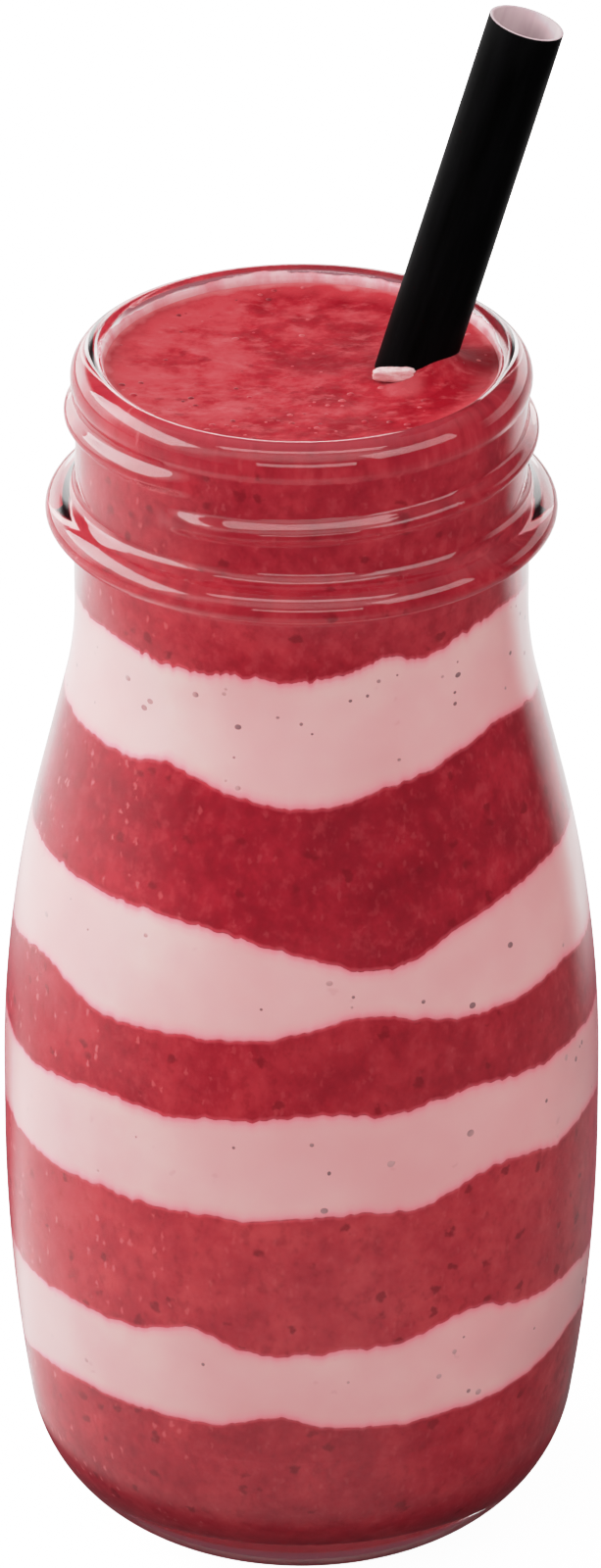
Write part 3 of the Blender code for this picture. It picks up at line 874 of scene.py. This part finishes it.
def cover_surface(layer, rings, material):
    """Gives the layer's open surface its material: the last rings' quads and the last fan."""
    layer.data.materials.append(material)
    shown = np.zeros(len(layer.data.polygons), np.int32)
    end = len(shown) - 2 * DRINK_AROUND
    shown[end - (rings - 1) * DRINK_AROUND:end] = 1
    shown[-DRINK_AROUND:] = 1
    layer.data.polygons.foreach_set("material_index", shown)


def make_layer(index, smoothie, surface, cream):
    """Layer by index from the top: even ones are smoothie, odd ones cream."""
    is_red = index % 2 == 0
    number = index // 2 + 1
    made, top_count = layer_mesh(index, f"smoothie_{number}" if is_red else f"cream_{number}")
    made.data.materials.append(smoothie if is_red else cream)
    if index == 0:
        cover_surface(made, top_count, surface)
    cut_round_straw(made)
    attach(made, "root")
    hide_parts(f"smoothie_layer_{number}" if is_red else f"cream_layer_{number}")


def make_drink():
    """The layers, what is left on the glass above them, and all that lies in or on them."""
    smoothie = smoothie_material("smoothie")
    surface = surface_material("smoothie_surface")
    cream = cream_material("cream")
    for index in range(len(BOUNDARIES) + 1):
        make_layer(index, smoothie, surface, cream)
    make_film()
    make_surface_scatter("foam_bubbles", BUBBLES, BUBBLE_RADII, foam_material("foam"), seed=4)
    make_surface_scatter("surface_bits", SURFACE_BITS, SPECK_RADII, bit_material("surface_pulp"), seed=9)
    make_specks()
    make_dab()


def make_film():
    """A thin smear that clings to the inside of the neck, from the drink's level to an uneven top."""
    reach = []
    for angle in np.radians(azimuths(DRINK_AROUND)):
        where = Vector((math.cos(angle), math.sin(angle), 5.0))
        broad = 0.45 * noise.fractal(where * 3.0, 0.9, 2.1, 4)
        reach.append(0.5 + broad + 0.2 * noise.noise(where * 30.0))
    low, high = FILM_HEIGHTS
    top = low + (high - low) * np.clip(np.array(reach), 0.05, 1.0)
    shares = (0.0, 0.25, 0.5, 0.75, 1.0)
    rings = []
    for offset, order in ((FILM_IN_WALL, shares), (-FILM_THICKNESS, shares[::-1])):
        for share in order:
            height = FILM_START + (top - FILM_START) * share
            rings.append(ring(inner_radius(height) + offset, height, DRINK_AROUND))
    made = ring_loop("drink_film", np.array(rings))
    made.data.materials.append(film_material("drink_smear"))
    cut_round_straw(made)
    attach(made, "root")


def small_ball(rings, facets):
    """Points and faces of a unit ball, for many small copies."""
    points, faces = [(0.0, 0.0, -1.0)], []
    for row in range(1, rings):
        polar = math.pi * row / rings
        for i in range(facets):
            angle = math.tau * i / facets
            across, height = math.sin(polar), -math.cos(polar)
            points.append((across * math.cos(angle), across * math.sin(angle), height))
    points.append((0.0, 0.0, 1.0))
    for i in range(facets):
        j = (i + 1) % facets
        faces.append((0, 1 + j, 1 + i))
        for row in range(rings - 2):
            base = 1 + row * facets
            faces.append((base + i, base + j, base + facets + j, base + facets + i))
        faces.append((len(points) - 1, 1 + (rings - 2) * facets + i, 1 + (rings - 2) * facets + j))
    return points, faces


def scatter(name, places, made_of):
    """One piece from many small balls. places are (centre, sizes, rotation matrix)."""
    ball_points, ball_faces = small_ball(8, 12)
    points, faces = [], []
    for centre, sizes, turn in places:
        start = len(points)
        for point in ball_points:
            points.append(centre + turn @ Vector([a * b for a, b in zip(point, sizes)]))
        faces += [tuple(start + i for i in face) for face in ball_faces]
    mesh = bpy.data.meshes.new(name)
    mesh.from_pydata(points, [], faces)
    mesh.shade_smooth()
    mesh.materials.append(made_of)
    made = add_object(name, mesh)
    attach(made, "root")


def surface_height(x, y):
    """Height of the drink's open surface at a place."""
    height = still_level(min(1.0, math.hypot(x, y) / (BORE_RADIUS + REACH_INTO_WALL)))
    return height + surface_lift(x, y, height)


def make_surface_scatter(name, count, radii, made_of, seed):
    """Small bubbles or bits on the open surface, more of them towards the glass and the front left."""
    draw = random.Random(seed)
    reach = BORE_RADIUS - 0.8 * MM
    places = []
    while len(places) < count:
        angle, share = draw.uniform(0, math.tau), math.sqrt(draw.random())
        x, y = reach * share * math.cos(angle), reach * share * math.sin(angle)
        from_straw = (Vector((x, y)) - straw_foot()).length
        crowd = 0.07 + 0.2 * share ** 3 + 0.5 * (x < 4 * MM and y < -5 * MM)
        if from_straw < STRAW_RADIUS + 1.0 * MM or draw.random() > crowd:
            continue
        radius = radii[0] + (radii[1] - radii[0]) * draw.random() ** 2
        centre = Vector((x, y, surface_height(x, y) - 0.45 * radius))
        sizes = (radius, radius * draw.uniform(0.7, 1.0), radius * 0.75)
        places.append((centre, sizes, Matrix.Identity(3)))
    scatter(name, places, made_of)


def make_specks():
    """Dark seeds that show at the glass in the pale layers, lying in the cream's side."""
    draw = random.Random(11)
    places = []
    for index, count in SPECKS:
        for _ in range(count):
            azimuth = draw.uniform(-180.0, 180.0)
            where = np.array([azimuth])
            top = float(boundary_line(index - 1, where)[0])
            foot = float(boundary_line(index, where)[0])
            height = draw.uniform(foot + 0.6 * MM, top - 0.6 * MM)
            radius = SPECK_RADII[0] + (SPECK_RADII[1] - SPECK_RADII[0]) * draw.random() ** 1.6
            turn = Matrix.Rotation(math.radians(azimuth), 3, "Z")
            out = turn @ Vector((0.0, -1.0, 0.0))
            reach = float(inner_radius(height)) + REACH_INTO_WALL - SPECK_SINK
            centre = out * reach + Vector((0, 0, height))
            places.append((centre, (radius * draw.uniform(0.8, 1.2), SPECK_THICKNESS, radius), turn))
    scatter("cream_specks", places, seed_material("dark_seed"))


def make_dab():
    """A small lumpy block of cream that clings to the straw's foot at the front left."""
    mesh = bpy.data.meshes.new("cream_dab")
    shape = bmesh.new()
    bmesh.ops.create_icosphere(shape, subdivisions=5, radius=1.0)
    for vertex in shape.verts:
        x, y, z = vertex.co
        lump = (x ** 4 + y ** 4 + z ** 4) ** -0.25
        lump *= 1.0 + 0.12 * noise.noise(vertex.co * 1.9) + 0.06 * noise.noise(vertex.co * 6.0)
        spread = Vector((1.0, 1.0 + 0.4 * max(0.0, -z), 1.0))
        vertex.co = DAB + Vector([a * b * c * lump for a, b, c in zip(vertex.co, DAB_SIZE, spread)])
    shape.to_mesh(mesh)
    shape.free()
    mesh.shade_smooth()
    mesh.materials.append(dab_material("dab_cream"))
    made = add_object("cream_dab", mesh)
    cut_round_straw(made)
    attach(made, "root")


def make_straw():
    """An open paper tube: black outside, pale inside and on its cut ends."""
    low, high = STRAW_EDGE, STRAW_LENGTH - STRAW_EDGE
    outer, inner = STRAW_RADIUS - STRAW_EDGE, STRAW_BORE_RADIUS + STRAW_EDGE
    sizes = [(STRAW_RADIUS, z) for z in np.linspace(low, high, STRAW_RINGS)]
    sizes += [(outer, STRAW_LENGTH), (inner, STRAW_LENGTH)]
    sizes += [(STRAW_BORE_RADIUS, z) for z in np.linspace(high, low, STRAW_RINGS)]
    sizes += [(inner, 0.0), (outer, 0.0)]
    made = tube("straw_tube", sizes, STRAW_AROUND, False)
    made.data.materials.append(paper_material("black_paper", *BLACK_PAPER, 0.45))
    made.data.materials.append(paper_material("pale_paper", *PALE_PAPER, 0.7))
    shown = np.ones(len(made.data.polygons), np.int32)
    shown[:STRAW_RINGS * STRAW_AROUND] = 0
    shown[-STRAW_AROUND:] = 0
    made.data.polygons.foreach_set("material_index", shown)
    made.matrix_world = straw_placement()
    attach(made, "root")
    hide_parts("straw")


def area_light(name, place, size, power):
    """A soft lamp that faces the middle of the bottle."""
    lamp = bpy.data.lights.new(name, "AREA")
    lamp.shape = "RECTANGLE"
    lamp.size, lamp.size_y = size
    lamp.energy = power
    made = add_object(name, lamp)
    made.location = place
    made.rotation_euler = (Vector(LIGHT_TARGET) - Vector(place)).to_track_quat("-Z", "Y").to_euler()


def greys_by_distance(tree, distance, stops):
    """A ramp of greys over a distance."""
    return ramp(tree, distance, [(place, (grey,) * 3) for place, grey in stops])


def floor_bounce(tree):
    """What the floor returns, by its distance from the bottle and by the side that it lies on."""
    where = own_place(tree)
    away = vector_math(tree, "LENGTH", where).outputs["Value"]
    side = axes_of(tree, vector_math(tree, "NORMALIZE", where).outputs["Vector"])
    bounce = mix(tree, smooth_rise(tree, away, 0.17, 0.08), FLOOR_FAR, FLOOR_NEAR)
    # darker to the right, where the bottle's shadow is painted
    right = smooth_rise(tree, side["X"], 0.3, 0.8, 0.7)
    bounce = mix(tree, right, bounce, greys_by_distance(tree, away, FLOOR_RIGHT_SHADE))
    left = math_node(tree, "MULTIPLY", smooth_rise(tree, side["X"], 0.0, -0.35),
                     remap(tree, side["Y"], -0.86, 0.45))
    bounce = mix(tree, left, bounce, greys_by_distance(tree, away, FLOOR_LEFT))
    behind = mix(tree, smooth_rise(tree, away, 0.19, 0.12), FLOOR_BACK, FLOOR_GLEAM)
    bounce = mix(tree, smooth_rise(tree, side["Y"], 0.5, 0.8), bounce, behind)
    # the bottle's shadow painted under it
    return mix(tree, smooth_rise(tree, away, 0.037, 0.030), bounce, FLOOR_SHADOW_UNDER)


def make_floor():
    """A pale floor. The camera sees it nearly white, as the photo's background is."""
    mesh = bpy.data.meshes.new("floor")
    half, level = 3.0, -0.05 * MM
    corners = [(-half, -half, level), (half, -half, level), (half, half, level), (-half, half, level)]
    mesh.from_pydata(corners, [], [(0, 1, 2, 3)])
    floor = add_object("floor", mesh)
    made, tree, shader = new_material("pale_floor")
    seen = ramp(tree, noise_at(tree, 3.0), ((0.3, (0.87, 0.87, 0.87)), (0.7, (0.89, 0.89, 0.89))))
    to_camera = tree.nodes.new("ShaderNodeLightPath").outputs["Is Camera Ray"]
    tree.links.new(mix(tree, to_camera, floor_bounce(tree), seen), shader.inputs["Base Color"])
    shader.inputs["Roughness"].default_value = 0.8
    shader.inputs["Specular IOR Level"].default_value = 0.1
    shader.inputs["Emission Color"].default_value = (1.0, 1.0, 1.0, 1.0)
    glow = math_node(tree, "MULTIPLY", to_camera, FLOOR_GLOW)
    tree.links.new(glow, shader.inputs["Emission Strength"])
    mesh.materials.append(made)


def make_world():
    """Pale to the camera. To all else a dim room, with soft glows round it and above."""
    world = bpy.data.worlds.new("studio")
    world.use_nodes = True
    tree = world.node_tree
    way = axes_of(tree, tree.nodes.new("ShaderNodeTexCoord").outputs["Generated"])
    total = 0.0
    for radiance, (first_axis, *first_span), (second_axis, *second_span) in ROOM_GLOWS:
        first = smooth_rise(tree, way[first_axis], *first_span, radiance)
        second = smooth_rise(tree, way[second_axis], *second_span)
        total = math_node(tree, "ADD", math_node(tree, "MULTIPLY", first, second), total)
    room = mix(tree, 1.0, total, ROOM_BASE, blend="ADD")
    level = math_node(tree, "MULTIPLY", smooth_rise(tree, way["Z"], 0.38, 0.46),
                      smooth_rise(tree, way["Z"], 0.75, 0.62))
    blush = math_node(tree, "MULTIPLY", level, smooth_rise(tree, way["Y"], 0.4, 0.7))
    room = mix(tree, blush, room, ROOM_BLUSH)
    to_camera = tree.nodes.new("ShaderNodeLightPath").outputs["Is Camera Ray"]
    tree.links.new(mix(tree, to_camera, room, ROOM_SEEN), tree.nodes["Background"].inputs["Color"])
    bpy.context.scene.world = world


def make_view_curve():
    """Standard colours with softly rolled-off highlights, as a camera gives."""
    view = bpy.context.scene.view_settings
    view.view_transform = "Standard"
    view.use_curve_mapping = True
    curve = view.curve_mapping
    curve.white_level = (CURVE_WHITE,) * 3
    combined = 3
    points = curve.curves[combined].points
    for light, shown in ROLL_OFF[1:-1]:
        points.new(light / CURVE_WHITE, shown)
    for point, (light, shown) in zip(points, ROLL_OFF):
        point.location = (light / CURVE_WHITE, shown)
        point.handle_type = "VECTOR" if light <= ROLL_OFF_START else "AUTO"
    curve.update()


def make_studio():
    """The floor, the room, how the picture is developed, and the lights."""
    make_floor()
    make_world()
    make_view_curve()
    for name, place, size, power in LIGHTS:
        area_light(name, place, size, power)


def make_camera():
    """The camera at the photo's angle, aimed at the middle of its frame."""
    camera = bpy.data.cameras.new("camera")
    camera.lens = CAMERA_LENS
    camera.sensor_fit = "AUTO"
    camera.sensor_width = 36.0
    made = add_object("camera", camera)
    away = Vector((0.0, -math.cos(CAMERA_ELEVATION), math.sin(CAMERA_ELEVATION)))
    made.location = CAMERA_TARGET + away * CAMERA_DISTANCE
    made.rotation_euler = (-away).to_track_quat("-Z", "Y").to_euler()
    bpy.context.scene.camera = made


make_camera()
make_studio()
make_bottle()
make_drink()
make_straw()
